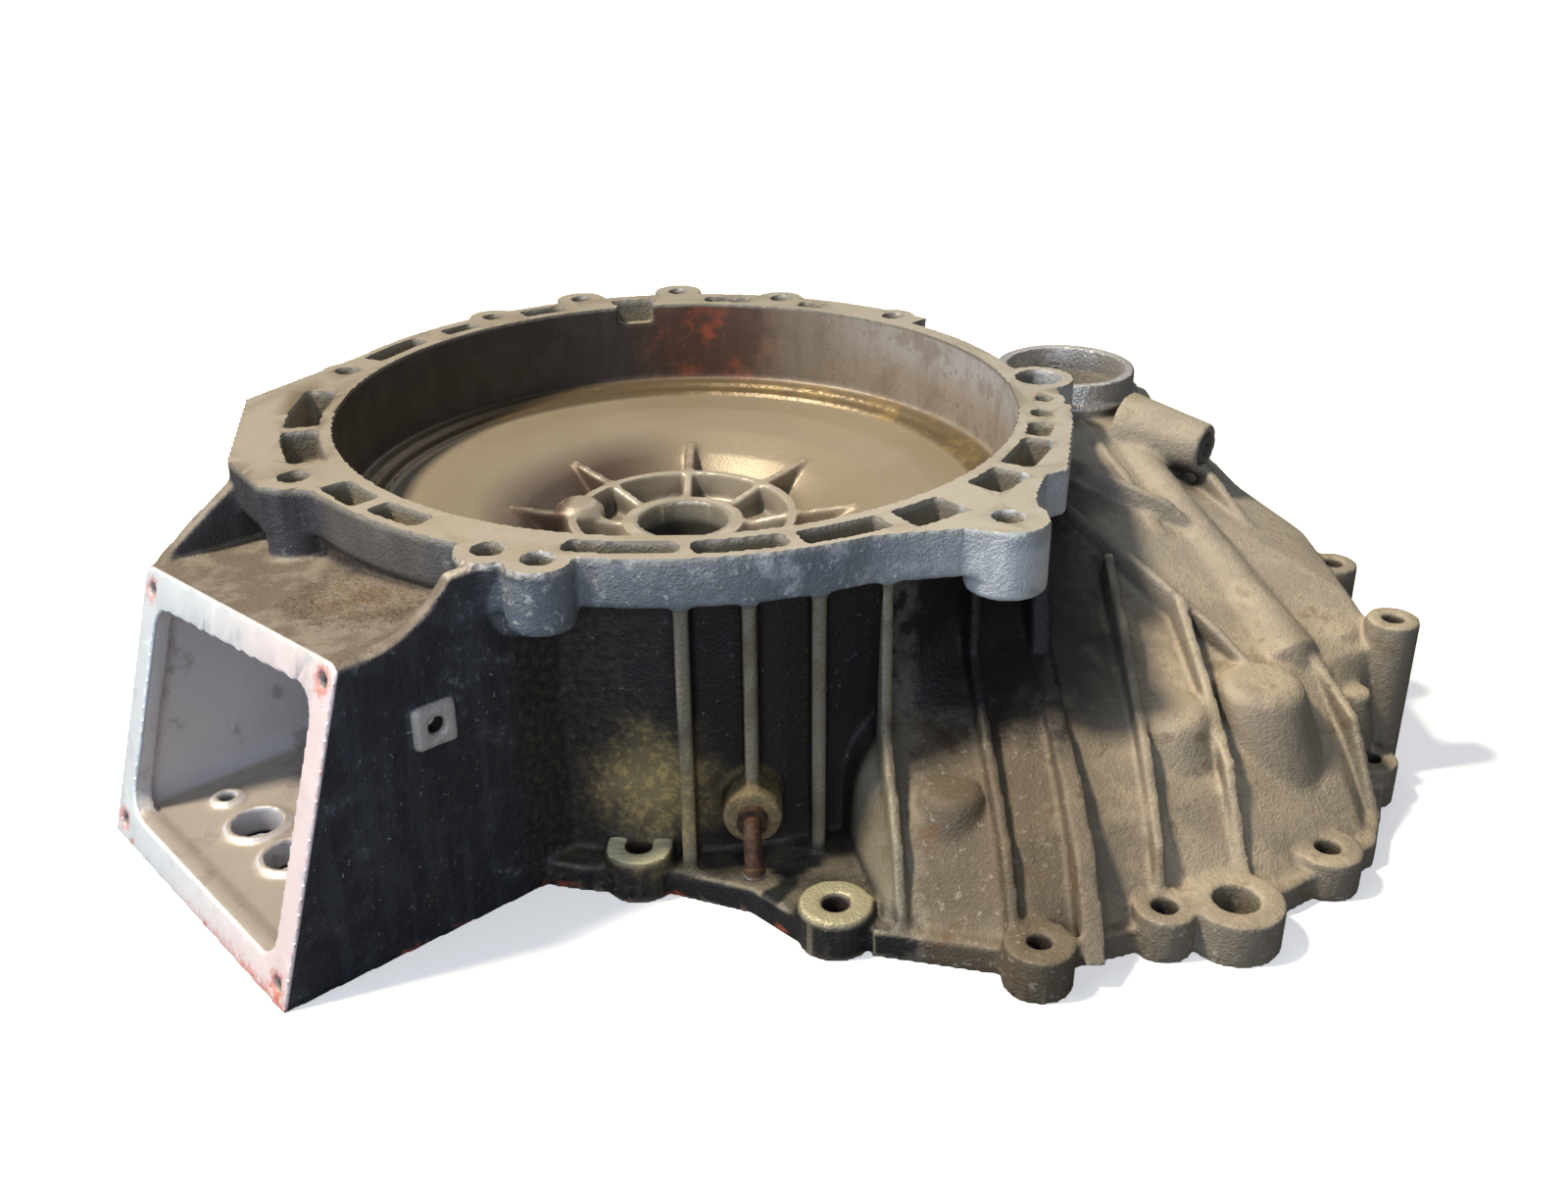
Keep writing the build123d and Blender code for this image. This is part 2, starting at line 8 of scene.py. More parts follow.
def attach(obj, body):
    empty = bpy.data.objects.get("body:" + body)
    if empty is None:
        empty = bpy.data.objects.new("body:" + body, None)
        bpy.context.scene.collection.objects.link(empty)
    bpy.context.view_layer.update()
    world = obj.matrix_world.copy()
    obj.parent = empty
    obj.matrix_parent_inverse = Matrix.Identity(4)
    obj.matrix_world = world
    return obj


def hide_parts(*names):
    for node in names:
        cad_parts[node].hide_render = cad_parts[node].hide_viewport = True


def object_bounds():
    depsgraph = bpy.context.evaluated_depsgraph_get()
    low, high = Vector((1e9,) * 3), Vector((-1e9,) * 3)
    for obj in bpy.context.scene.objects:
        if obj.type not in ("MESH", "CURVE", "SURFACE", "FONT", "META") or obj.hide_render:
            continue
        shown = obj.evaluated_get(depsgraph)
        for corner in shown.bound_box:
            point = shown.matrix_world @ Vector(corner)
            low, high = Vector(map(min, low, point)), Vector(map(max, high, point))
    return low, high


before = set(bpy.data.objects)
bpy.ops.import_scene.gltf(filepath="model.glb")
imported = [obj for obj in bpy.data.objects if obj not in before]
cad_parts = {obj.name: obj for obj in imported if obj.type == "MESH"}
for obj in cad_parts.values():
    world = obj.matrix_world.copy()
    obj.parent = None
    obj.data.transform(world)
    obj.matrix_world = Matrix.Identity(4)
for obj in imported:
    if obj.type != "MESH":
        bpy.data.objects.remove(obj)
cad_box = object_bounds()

# The casing: one aluminium die casting, with its faces and bores machined afterwards.
# Its skin is drawn anew over the solid, so that cast edges and corners come out round,
# while the machined faces and the rims of their holes stay crisp.
skin_step = 0.0013
skin_weld = 0.000001
round_passes = 9
machined_band = 0.002
most_triangles = 190000
crisp_angle = math.radians(40.0)
case_depth = 0.160
duct_angle = math.radians(221.7)
duct_reach = 0.2805
duct_offset = 0.0127
duct_lean = math.radians(17.0)
hub_rim = 0.0245
collar_place = Vector((0.2045, 0.084, 0.0))
collar_rim = 0.0385
collar_foot = -0.024


def work(piece, kind, **settings):
    """Gives a piece a modifier with these settings and applies it."""
    step = piece.modifiers.new(kind.lower(), kind)
    for name, value in settings.items():
        setattr(step, name, value)
    bpy.context.view_layer.objects.active = piece
    bpy.ops.object.modifier_apply(modifier=step.name)


def take_up(piece):
    """Selects one piece alone and makes it the active one."""
    bpy.ops.object.select_all(action="DESELECT")
    piece.select_set(True)
    bpy.context.view_layer.objects.active = piece


def weld(piece):
    """Joins the loose facets of a piece into one surface."""
    take_up(piece)
    bpy.ops.object.mode_set(mode="EDIT")
    bpy.ops.mesh.select_all(action="SELECT")
    bpy.ops.mesh.remove_doubles(threshold=skin_weld)
    bpy.ops.object.mode_set(mode="OBJECT")


casing = bpy.data.objects.new("casing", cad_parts["housing"].data.copy())
bpy.context.scene.collection.objects.link(casing)
weld(casing)
work(casing, "REMESH", mode="VOXEL", voxel_size=skin_step)

outward = Vector((math.cos(duct_angle), math.sin(duct_angle), 0.0))
across = outward.cross(Vector((0.0, 0.0, -1.0)))
mouth_normal = outward * math.cos(duct_lean) + Vector((0.0, 0.0, math.sin(duct_lean)))
mouth_rise = Vector((0.0, 0.0, math.cos(duct_lean))) - outward * math.sin(duct_lean)
mouth_foot = outward * duct_reach + across * duct_offset - Vector((0.0, 0.0, case_depth))

places = np.empty(len(casing.data.vertices) * 3)
casing.data.vertices.foreach_get("co", places)
places = places.reshape(-1, 3)
height = places[:, 2]
from_mouth = (places - np.array(mouth_foot)) @ np.array(mouth_normal)
from_axis = np.hypot(places[:, 0], places[:, 1])
from_collar = np.hypot(places[:, 0] - collar_place.x, places[:, 1] - collar_place.y)
machined = np.abs(height) < machined_band
machined |= np.abs(height + case_depth) < machined_band
machined |= np.abs(from_mouth) < machined_band
machined |= from_axis < hub_rim
machined |= (from_collar < collar_rim) & (height > collar_foot)
cast = casing.vertex_groups.new(name="cast")
cast.add(np.flatnonzero(~machined).tolist(), 1.0, "REPLACE")
work(casing, "SMOOTH", factor=0.5, iterations=round_passes, vertex_group="cast")
casing.vertex_groups.clear()
triangles = sum(len(face.vertices) - 2 for face in casing.data.polygons)
work(casing, "DECIMATE", ratio=min(1.0, most_triangles / triangles))
bpy.ops.object.shade_smooth_by_angle(angle=crisp_angle)
places = np.empty(len(casing.data.vertices) * 3)
casing.data.vertices.foreach_get("co", places)
places = np.clip(places.reshape(-1, 3), *cad_box)
casing.data.vertices.foreach_set("co", places.ravel())


def linear(code):
    """A colour from its sRGB hex code."""
    parts = [int(code[i : i + 2], 16) / 255 for i in (0, 2, 4)]
    return (*[c / 12.92 if c <= 0.04045 else ((c + 0.055) / 1.055) ** 2.4 for c in parts], 1.0)


def add(tree, kind, inputs, **settings):
    """Adds a node with its settings, and sets or links its inputs."""
    made = tree.nodes.new("ShaderNode" + kind)
    for name, value in settings.items():
        setattr(made, name, value)
    for key, value in inputs.items():
        if isinstance(value, bpy.types.NodeSocket):
            tree.links.new(value, made.inputs[key])
        else:
            made.inputs[key].default_value = value
    return made


# Die-cast aluminium, weathered: a dull grey skin under dust and oil, bright where it was
# machined or rubbed, with painted shade in its hollows and on faces turned from the light, and
# painted light on some faces. Its places and grains are in millimetres, while the reach of
# shelter, the depth of sand and the places on the duct are in metres.
per_metre = 1000.0
shelter_reach = 0.018
run_width = 9.0
run_stretch = 0.12
pad_side = 0.089
pad_back = 0.078
screw_spread = 0.0765
low_screw_rise = 0.0085
top_left_rise = 0.1190
top_right_rise = 0.1358
screws = ("top_left_screw", "top_right_screw", "low_left_screw", "low_right_screw")
screw_stain = (14.0, 9.5)
screw_stray = 12.0
roof_slope = -0.0941
crumb_grit = 6.0
grain_share = 1.2
sand_depth = 0.0005
alloy = bpy.data.materials.new("weathered_die_cast_aluminium_painted_light_and_shade")
alloy.use_nodes = True
tree = alloy.node_tree
where = add(tree, "TexCoord", {})
in_millimetres = {0: where.outputs["Object"], "Scale": per_metre}
place = add(tree, "VectorMath", in_millimetres, operation="SCALE").outputs[0]
spot = add(tree, "SeparateXYZ", {0: place}).outputs
upward = add(tree, "SeparateXYZ", {0: where.outputs["Normal"]}).outputs[2]
level = add(tree, "CombineXYZ", {0: spot[0], 1: spot[1]}).outputs[0]
from_foot = add(tree, "VectorMath", {0: place, 1: mouth_foot * per_metre}, operation="SUBTRACT").outputs[0]
shape = add(tree, "NewGeometry", {})
# How open each spot is, from ambient occlusion: it sets the painted shade in hollows.
shelter = add(tree, "AmbientOcclusion", {"Distance": shelter_reach}, samples=6, only_local=True)

gauge = {
    "x": spot[0],
    "y": spot[1],
    "z": spot[2],
    "up": upward,
    "ridge": shape.outputs["Pointiness"],
    "open": shelter.outputs["AO"],
    "radius": add(tree, "VectorMath", {0: level}, operation="LENGTH").outputs[1],
}
for name, direction in (("mouth", mouth_normal), ("out", outward), ("across", across), ("rise", mouth_rise)):
    gauge[name] = add(tree, "VectorMath", {0: from_foot, 1: direction}, operation="DOT_PRODUCT").outputs[1]

# Marks on the casing: the middle of each, in millimetres.
marks = {
    "collar": collar_place * per_metre + Vector((0.0, 0.0, -20.0)),
    "rust": Vector((8.0, 165.0, -22.0)),
    "ochre": Vector((-4.0, -180.0, -114.0)),
    "breather_boss": Vector((37.0, -178.0, -120.0)),
    "corner_boss": Vector((142.3, -148.9, -22.0)),
    "chipped_boss": Vector((-43.9, -185.9, -20.0)),
    "left_boss": Vector((-11.8, -177.1, -140.0)),
    "middle_boss": Vector((71.0, -215.0, -142.0)),
    "pad": (mouth_foot + across * pad_side - outward * pad_back) * per_metre + Vector((0.0, 0.0, 100.0)),
    "crumbs": Vector((-116.0, -160.0, -28.0)),
    "chipped": Vector((-57.0, -197.0, -2.0)),
    "top_left_screw": (mouth_foot - across * screw_spread + mouth_rise * top_left_rise) * per_metre,
    "top_right_screw": (mouth_foot + across * screw_spread + mouth_rise * top_right_rise) * per_metre,
    "low_left_screw": (mouth_foot - across * screw_spread + mouth_rise * low_screw_rise) * per_metre,
    "low_right_screw": (mouth_foot + across * screw_spread + mouth_rise * low_screw_rise) * per_metre,
}
for name, middle in marks.items():
    gauge[name] = add(tree, "VectorMath", {0: place, 1: middle}, operation="DISTANCE").outputs[1]

# Grains of dust, oil and casting skin: width of a patch in millimetres, number of finer ones in it.
grains = [("cloud", 70.0, 3.0), ("blotch", 17.0, 5.0), ("grain", 3.4, 4.0), ("speck", 1.3, 2.0)]
for name, width, finer in grains:
    settings = {"Vector": place, "Scale": 1.0 / width, "Detail": finer, "Roughness": 0.62}
    gauge[name] = add(tree, "TexNoise", settings).outputs[0]
runs_way = add(tree, "VectorMath", {0: place, 1: (1.0, 1.0, run_stretch)}, operation="MULTIPLY").outputs[0]
runs = {"Vector": runs_way, "Scale": 1.0 / run_width, "Detail": 4.0, "Roughness": 0.6}
gauge["runs"] = add(tree, "TexNoise", runs).outputs[0]

# Ragged gauges: a gauge, the grain that strays it, and by how many millimetres.
ragged = [
    ("ragged_x", "x", "blotch", 44.0),
    ("ragged_z", "z", "blotch", 40.0),
    ("ragged_rust", "rust", "blotch", 60.0),
    ("ragged_ochre", "ochre", "blotch", 34.0),
    ("ragged_crumbs", "crumbs", "grain", 60.0),
    ("ragged_across", "across", "grain", 16.0),
    ("ragged_rise", "rise", "grain", 16.0),
]
for name, base, stray, amount in ragged:
    settings = {0: gauge[stray], 1: amount, 2: gauge[base]}
    gauge[name] = add(tree, "Math", settings, operation="MULTIPLY_ADD").outputs[0]
for corner in screws:
    settings = {0: gauge["grain"], 1: screw_stray, 2: gauge[corner]}
    gauge[corner] = add(tree, "Math", settings, operation="MULTIPLY_ADD").outputs[0]
roof_fall = {0: gauge["across"], 1: roof_slope, 2: gauge["z"]}
gauge["roof"] = add(tree, "Math", roof_fall, operation="MULTIPLY_ADD").outputs[0]

# Borders: the gauge, where the border starts and where it is full.
borders = {
    "level": ("up", 0.80, 0.95),
    "dusty": ("up", 0.15, 0.75),
    "upright": ("up", 0.60, 0.30),
    "face": ("z", -1.3, -0.5),
    "below_face": ("z", -0.8, -2.2),
    "flange": ("z", -41.0, -37.0),
    "under_flange": ("z", -21.0, -25.0),
    "rim_edge": ("z", -4.0, -1.0),
    "pocket": ("z", -17.5, -15.0),
    "foot": ("ragged_z", -118.0, -136.0),
    "sealed": ("z", -155.5, -158.5),
    "outside": ("radius", 166.6, 168.0),
    "rim_side": ("radius", 183.0, 186.5),
    "inside": ("radius", 166.6, 165.8),
    "beyond_rim": ("radius", 186.0, 190.0),
    "near_rim": ("radius", 230.0, 222.0),
    "past_rim": ("radius", 222.0, 230.0),
    "on_floor": ("z", -43.5, -45.5),
    "ledge": ("radius", 147.0, 150.5),
    "trough": ("radius", 108.0, 78.0),
    "hub": ("radius", 62.0, 56.0),
    "bore": ("radius", 26.0, 24.5),
    "bore_low": ("z", -70.0, -78.0),
    "wall_high": ("z", -30.0, -10.0),
    "wall_right": ("x", -40.0, 110.0),
    "wall_far_right": ("x", 60.0, 160.0),
    "right_side": ("ragged_x", 118.0, 132.0),
    "left_of_side": ("ragged_x", 132.0, 118.0),
    "front": ("y", -96.0, -126.0),
    "collar": ("collar", 47.0, 42.0),
    "collar_top": ("z", -26.0, -23.0),
    "duct": ("out", -120.0, -106.0),
    "in_left": ("across", -80.2, -79.0),
    "in_right": ("across", 80.2, 79.0),
    "under_roof": ("roof", -33.5, -35.5),
    "on_roof": ("roof", -33.0, -31.0),
    "over_floor": ("z", -159.0, -157.0),
    "in_mouth": ("mouth", -0.8, -2.0),
    "mouth": ("mouth", -1.6, -0.7),
    "mouth_right": ("ragged_across", 92.0, 98.0),
    "mouth_low": ("ragged_rise", 15.0, 7.0),
    "mouth_warm": ("across", -60.0, 90.0),
    "pad": ("pad", 22.0, 19.0),
    "raised": ("across", 85.8, 87.0),
    "crumbs": ("ragged_crumbs", 66.0, 52.0),
    "chipped": ("chipped", 30.0, 20.0),
    "rust": ("ragged_rust", 84.0, 46.0),
    "ochre": ("ragged_ochre", 58.0, 22.0),
    "breather_boss": ("breather_boss", 19.0, 16.0),
    "corner_boss": ("corner_boss", 24.0, 21.0),
    "chipped_boss": ("chipped_boss", 22.0, 19.0),
    "left_boss": ("left_boss", 17.0, 15.0),
    "middle_boss": ("middle_boss", 17.5, 15.5),
    "ridge": ("ridge", 0.515, 0.56),
    "sharp_ridge": ("ridge", 0.54, 0.60),
    "crevice": ("open", 0.72, 0.30),
    "deep": ("open", 0.45, 0.15),
    "clouds": ("cloud", 0.42, 0.62),
    "thin_clouds": ("cloud", 0.60, 0.40),
    "blotches": ("blotch", 0.46, 0.62),
    "few_blotches": ("blotch", 0.56, 0.68),
    "grains": ("grain", 0.48, 0.62),
    "few_grains": ("grain", 0.58, 0.68),
    "specks": ("speck", 0.60, 0.68),
    "soft_grains": ("grain", 0.36, 0.70),
    "runs": ("runs", 0.48, 0.62),
    "dark_runs": ("runs", 0.50, 0.36),
    "side_left": ("ragged_x", 244.0, 200.0),
    "slope_left": ("x", 220.0, 140.0),
    "side_high": ("ragged_z", -84.0, -64.0),
    "side_low": ("z", -120.0, -140.0),
    "far_left": ("x", -120.0, -170.0),
    "front_side": ("y", 20.0, -20.0),
    "far_right": ("x", 60.0, 150.0),
    "skirt_left": ("x", -60.0, -100.0),
    "front_left": ("x", 20.0, -20.0),
    "rib_edge": ("radius", 180.0, 185.0),
    "over_apron": ("z", -146.0, -138.0),
    "by_ribs": ("x", -8.0, 0.0),
    "slope_high": ("z", -95.0, -55.0),
    "floor_left": ("x", 20.0, -50.0),
}
for corner in screws:
    borders[corner] = (corner, *screw_stain)
within = {}
for name, (source, start, full) in borders.items():
    settings = {0: gauge[source], 1: start, 2: full}
    within[name] = add(tree, "MapRange", settings, interpolation_type="SMOOTHSTEP").outputs[0]

off_flange = {0: within["under_flange"], 1: within["past_rim"]}
within["off_flange"] = add(tree, "Math", off_flange, operation="MAXIMUM").outputs[0]


def shared(names, cover):
    """The share that several borders have in common, times a cover."""
    for name in names:
        cover = add(tree, "Math", {0: within[name], 1: cover}, operation="MULTIPLY").outputs[0]
    return cover


# Regions of the casing: the borders that each lies within.
regions = {
    "skirt": ("rim_side", "flange", "near_rim"),
    "front_wall": ("outside", "under_flange", "front", "left_of_side"),
    "slope": ("outside", "off_flange", "right_side"),
    "shaded_slope": ("outside", "under_flange", "right_side", "side_left", "side_high", "front_side"),
    "duct_wall": ("duct", "beyond_rim"),
    "duct_roof": ("duct", "beyond_rim", "on_roof", "dusty"),
    "in_duct": ("duct", "under_roof", "in_left", "in_right", "in_mouth", "over_floor"),
    "bell_wall": ("inside", "below_face"),
    "bell_floor": ("inside", "on_floor"),
    "engine_face": ("face", "level"),
    "pocket_floor": ("pocket", "level", "below_face"),
}
for name, names in regions.items():
    within[name] = shared(names, 1.0)

# Coats, from the casting skin outwards, painted light and shade among them: where each lies, its colour,
# cover, roughness and metal.
skin = "77766f"
coats = [
    (("clouds",), "6a675f", 0.6, 0.62, 0.25),
    (("skirt",), "848d95", 0.9, 0.50, 0.35),
    (("skirt", "clouds"), "66707a", 0.6, 0.50, 0.35),
    (("skirt", "blotches"), "a4abb0", 0.5, 0.48, 0.35),
    # Painted light: the right end of the skirt is painted paler, where the light falls on it.
    (("skirt", "far_right"), "ccd3d8", 0.7, 0.48, 0.35),
    (("skirt", "few_blotches"), "d3d7d8", 0.6, 0.56, 0.15),
    (("skirt", "thin_clouds", "soft_grains"), "746f64", 0.4, 0.60, 0.20),
    (("skirt", "few_grains"), "d6dadb", 0.6, 0.60, 0.15),
    (("skirt", "skirt_left"), "6e6455", 0.8, 0.60, 0.15),
    # Near black: dark oil on the front wall, with painted shade of the flange and ribs over it.
    (("front_wall",), "121114", 0.95, 0.50, 0.05),
    (("front_wall", "runs"), "242226", 0.6, 0.50, 0.05),
    (("front_wall", "front_left", "soft_grains"), "493f30", 0.7, 0.66, 0.05),
    (("front_wall", "few_blotches", "few_grains"), "6d7176", 0.6, 0.66, 0.05),
    (("front_wall", "few_grains", "specks"), "a9adae", 0.7, 0.70, 0.0),
    (("front_wall", "ridge"), "979079", 0.9, 0.48, 0.35),
    # Painted light: the front edges of the ribs are painted paler, as if lit, with darker blotches on them.
    (("front_wall", "rib_edge", "over_apron", "by_ribs"), "8d8774", 0.8, 0.50, 0.25),
    (("front_wall", "rib_edge", "over_apron", "by_ribs", "blotches"), "655c46", 0.6, 0.60, 0.15),
    # Near black: oil on the outer walls of the duct, with painted shade where they face away from the light.
    (("duct_wall",), "2c2e34", 0.95, 0.50, 0.08),
    (("duct_wall", "runs"), "40434a", 0.6, 0.50, 0.08),
    (("duct_wall", "blotches"), "484a4f", 0.4, 0.54, 0.05),
    (("duct_wall", "thin_clouds", "grains"), "40372c", 0.55, 0.62, 0.05),
    (("duct_wall", "few_blotches", "grains"), "7b8085", 0.5, 0.66, 0.0),
    (("duct_wall", "few_grains", "specks"), "c3c9cc", 0.9, 0.70, 0.0),
    (("slope",), "8a816f", 0.92, 0.64, 0.12),
    (("slope", "dusty"), "aea28b", 0.8, 0.68, 0.06),
    (("slope", "thin_clouds"), "83796a", 0.6, 0.62, 0.15),
    (("slope", "dusty", "blotches"), "c0b298", 0.5, 0.66, 0.06),
    (("slope", "few_blotches"), "6b5b43", 0.55, 0.68, 0.08),
    (("slope", "few_grains"), "675a46", 0.4, 0.70, 0.08),
    (("slope", "side_low", "few_grains"), "c4beb2", 0.5, 0.70, 0.0),
    (("slope", "slope_high"), "a3a096", 0.5, 0.64, 0.10),
    (("slope", "slope_left"), "4b402f", 0.8, 0.66, 0.08),
    (("slope", "slope_left", "few_grains"), "a89f90", 0.5, 0.70, 0.0),
    (("slope", "slope_left", "few_blotches"), "6b4f33", 0.5, 0.70, 0.0),
    (("shaded_slope",), "101013", 0.93, 0.55, 0.05),
    (("slope", "sharp_ridge"), "b5a98f", 0.9, 0.50, 0.25),
    (("slope", "sharp_ridge", "grains"), "d6cdb9", 0.5, 0.50, 0.25),
    (("outside", "foot", "dusty"), "8d8571", 0.5, 0.58, 0.20),
    (("ochre", "front_wall"), "9c8a5e", 0.85, 0.75, 0.0),
    (("ochre", "front_wall", "grains"), "d2b670", 0.6, 0.75, 0.0),
    (("breather_boss",), "6f6143", 0.85, 0.66, 0.05),
    (("breather_boss", "grains"), "9a8452", 0.5, 0.70, 0.0),
    # The corner boss: grey metal, painted pale with painted light on its front, with darker blotches.
    (("corner_boss",), "cdd4d8", 0.9, 0.48, 0.35),
    (("corner_boss", "blotches"), "8d959b", 0.5, 0.50, 0.35),
    (("chipped_boss",), "7a8288", 0.85, 0.50, 0.35),
    (("chipped_boss", "few_blotches"), "5d6c7d", 0.6, 0.46, 0.35),
    (("chipped_boss", "few_grains"), "c9cdce", 0.6, 0.60, 0.15),
    # Painted light: the machined tops of the two low bosses are painted much paler, as if lit.
    (("left_boss", "level"), "f2ecc0", 0.95, 0.42, 0.10),
    (("middle_boss", "level"), "b9b594", 0.9, 0.40, 0.40),
    # The bore wall: dark brown at the left and back, which is dirt with painted shade.
    (("bell_wall",), "37302c", 0.95, 0.48, 0.20),
    (("bell_wall", "blotches"), "4c4644", 0.5, 0.48, 0.20),
    # Painted light: the bore wall is painted paler towards the right and top right, where the light falls.
    (("bell_wall", "wall_right"), "8b8070", 0.9, 0.46, 0.25),
    (("bell_wall", "wall_far_right"), "9b948c", 0.7, 0.46, 0.25),
    (("bell_wall", "wall_far_right", "wall_high"), "a6a8ae", 0.8, 0.46, 0.25),
    (("bell_wall", "wall_right", "blotches"), "746754", 0.5, 0.50, 0.20),
    (("bell_wall", "wall_right", "few_grains"), "5b4d3c", 0.5, 0.60, 0.10),
    (("bell_wall", "dark_runs"), "54483b", 0.15, 0.48, 0.20),
    (("bell_wall", "rust"), "41210f", 0.8, 0.58, 0.05),
    (("bell_wall", "rust", "blotches"), "93431f", 0.65, 0.60, 0.0),
    (("bell_floor",), "9b917d", 0.95, 0.46, 0.30),
    (("bell_floor", "clouds"), "90866f", 0.6, 0.48, 0.28),
    (("bell_floor", "few_grains", "specks"), "5b5040", 0.5, 0.60, 0.10),
    (("bell_floor", "ledge"), "5f5036", 0.85, 0.38, 0.40),
    (("bell_floor", "ledge", "wall_right", "blotches"), "a18c58", 0.5, 0.32, 0.45),
    (("bell_floor", "trough"), "958a77", 0.8, 0.46, 0.30),
    # Painted shade: the left of the trough, turned from the light, is painted dark.
    (("bell_floor", "trough", "floor_left"), "483730", 0.85, 0.50, 0.20),
    (("bell_floor", "hub"), "b3ac9d", 0.85, 0.44, 0.35),
    (("bell_floor", "ridge"), "ded8ca", 0.75, 0.40, 0.40),
    # Painted shade in hollows: dark brown dirt with painted shade in the crevices, and near-black painted
    # shade deeper in.
    (("crevice",), "2d2318", 0.8, 0.78, 0.0),
    (("deep",), "17120d", 0.8, 0.80, 0.0),
    (("pocket", "below_face", "crevice"), "877f6b", 0.9, 0.70, 0.05),
    (("pocket", "below_face", "crevice", "grains"), "6b6350", 0.6, 0.72, 0.05),
    (("in_duct",), "c4c2c4", 0.95, 0.48, 0.15),
    (("in_duct", "level"), "b0a89c", 0.95, 0.42, 0.40),
    (("in_duct", "ridge"), "cfccc6", 0.7, 0.35, 0.60),
    (("in_duct", "few_blotches"), "837c78", 0.6, 0.55, 0.20),
    # Painted shade deep in the holes of the ports.
    (("in_duct", "deep"), "25211d", 0.9, 0.60, 0.10),
    (("duct_roof",), "6f6557", 0.85, 0.66, 0.12),
    (("duct_roof", "blotches"), "8d877b", 0.6, 0.60, 0.15),
    (("crumbs", "dusty", "soft_grains", "beyond_rim"), "74603f", 0.9, 0.85, 0.0),
    (("pad", "raised"), "cbc5bc", 0.9, 0.46, 0.20),
    (("pad", "raised", "few_blotches"), "8f877c", 0.6, 0.56, 0.10),
    (("sharp_ridge", "outside"), "bdbab0", 0.55, 0.38, 0.70),
    (("pocket_floor",), "979178", 0.85, 0.62, 0.15),
    (("pocket_floor", "grains"), "7a745b", 0.6, 0.70, 0.10),
    (("rim_edge", "upright", "outside"), "b5b1a4", 0.4, 0.42, 0.50),
    (("chipped", "rim_edge", "outside", "soft_grains"), "e9e7df", 0.9, 0.44, 0.40),
    (("engine_face",), "8f8674", 1.0, 0.44, 0.35),
    (("engine_face", "front"), "b1a895", 0.8, 0.44, 0.35),
    (("engine_face", "blotches"), "8b7e64", 0.5, 0.48, 0.35),
    (("engine_face", "few_grains"), "5d4c37", 0.6, 0.70, 0.10),
    (("engine_face", "thin_clouds"), "b3aa97", 0.4, 0.40, 0.45),
    (("engine_face", "far_left"), "655a48", 0.8, 0.56, 0.15),
    (("engine_face", "far_right"), "7d7462", 0.7, 0.52, 0.20),
    (("engine_face", "far_right", "blotches"), "978d78", 0.5, 0.48, 0.30),
    (("engine_face", "ridge"), "cdc7b8", 0.6, 0.40, 0.45),
    (("bore", "under_flange"), "c0bdb0", 0.9, 0.32, 0.60),
    (("bore", "bore_low"), "1b1916", 0.9, 0.60, 0.10),
    (("collar", "collar_top"), "c8c6c2", 0.95, 0.26, 0.75),
    # The machined mouth face: pale metal, its blue-white partly a painted glare of the cool light.
    (("mouth",), "dbe5eb", 1.0, 0.44, 0.30),
    (("mouth", "mouth_warm"), "e8d5d4", 0.85, 0.46, 0.20),
    (("mouth", "few_blotches"), "c3ccd2", 0.6, 0.46, 0.30),
    (("mouth", "mouth_right"), "bd5b43", 0.8, 0.62, 0.0),
    (("mouth", "mouth_low", "mouth_warm"), "bd5b43", 0.9, 0.62, 0.0),
    (("mouth", "top_left_screw"), "b9583f", 0.6, 0.62, 0.0),
    (("mouth", "top_right_screw"), "b9583f", 0.7, 0.62, 0.0),
    (("mouth", "low_left_screw"), "b9583f", 0.6, 0.62, 0.0),
    (("mouth", "low_right_screw"), "b9583f", 0.7, 0.62, 0.0),
    (("sealed", "front", "left_of_side", "few_blotches"), "b0553d", 0.9, 0.62, 0.0),
]
colour = linear(skin)
finish = (0.58, 0.35, 0.0)
for spots, code, cover, roughness, metal in coats:
    mask = shared(spots, cover)
    colour = add(tree, "Mix", {0: mask, 6: colour, 7: linear(code)}, data_type="RGBA").outputs[2]
    settings = {0: mask, 4: finish, 5: (roughness, metal, 0.0)}
    finish = add(tree, "Mix", settings, data_type="VECTOR").outputs[1]
sheen = add(tree, "SeparateXYZ", {0: finish}).outputs

# Relief of the skin: sandy where it is cast, smooth where it is machined or was poured smooth.
grit = shared(("crumbs", "dusty"), crumb_grit)
crumbly = {0: gauge["grain"], 1: grit, 2: gauge["speck"]}
sand = add(tree, "Math", crumbly, operation="MULTIPLY_ADD").outputs[0]
grainy = {0: gauge["grain"], 1: grain_share, 2: sand}
skin_height = add(tree, "Math", grainy, operation="MULTIPLY_ADD").outputs[0]
rough_cast = 1.0
for name, left in (("face", 0.0), ("mouth", 0.0), ("inside", 0.3), ("in_duct", 0.25)):
    kept = add(tree, "MapRange", {0: within[name], 3: 1.0, 4: left}).outputs[0]
    rough_cast = add(tree, "Math", {0: kept, 1: rough_cast}, operation="MULTIPLY").outputs[0]
relief = {"Height": skin_height, "Distance": sand_depth, "Strength": rough_cast}
skin_bump = add(tree, "Bump", relief).outputs[0]
gloss = tree.nodes["Principled BSDF"]
tree.links.new(colour, gloss.inputs["Base Color"])
tree.links.new(sheen[0], gloss.inputs["Roughness"])
tree.links.new(sheen[1], gloss.inputs["Metallic"])
tree.links.new(skin_bump, gloss.inputs["Normal"])
casing.data.materials.clear()
casing.data.materials.append(alloy)
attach(casing, "root")
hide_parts("housing")

